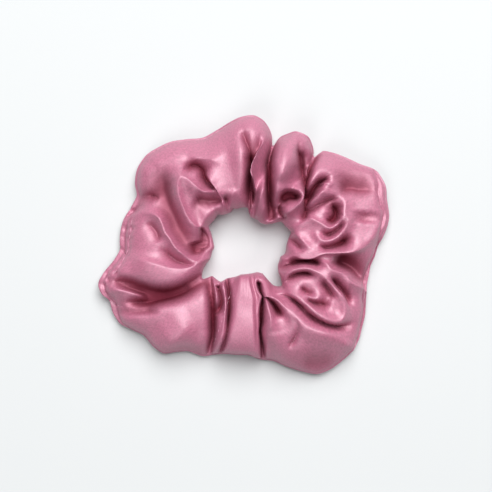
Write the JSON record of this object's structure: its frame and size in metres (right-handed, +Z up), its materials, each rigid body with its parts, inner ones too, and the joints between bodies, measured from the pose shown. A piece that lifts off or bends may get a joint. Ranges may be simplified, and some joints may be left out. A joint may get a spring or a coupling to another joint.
{
  "type": "scrunchie",
  "caption": "Ruffled ring of satin gathered over a hidden elastic loop, worn round a ponytail, a bun or a wrist.",
  "frame": {"origin": "middle of the footprint on the surface that the scrunchie lies on, on the axis of its opening", "axes": "+Z up along the axis of the opening, +X along the longer side of the ruffled outline"},
  "size_m": [0.1123, 0.0999, 0.0238],
  "materials": {
    "satin": "dusty rose polyester satin, smooth and lustrous, with a fine weave",
    "braided_elastic": "off-white braided elastic, matt, with ribs along its length",
    "sewing_thread": "spun polyester thread dyed to match the satin",
    "elastic_thread": "off-white spun polyester thread"
  },
  "bodies": {
    "cover": {"satin_cover": "satin", "long_seam_needle_thread": "sewing_thread", "long_seam_bobbin_thread": "sewing_thread", "closing_seam_needle_thread": "sewing_thread", "closing_seam_bobbin_thread": "sewing_thread", "cross_seam_needle_thread": "sewing_thread", "cross_seam_bobbin_thread": "sewing_thread"},
    "elastic": {"elastic_band": "braided_elastic", "band_join_needle_thread": "elastic_thread", "band_join_bobbin_thread": "elastic_thread"}
  },
  "joints": [
    {"name": "elastic_in_channel", "type": "hinge", "parent": "cover", "child": "elastic", "pos_m": [0, 0, 0], "axis": [0, 0, 1], "continuous": true}
  ]
}
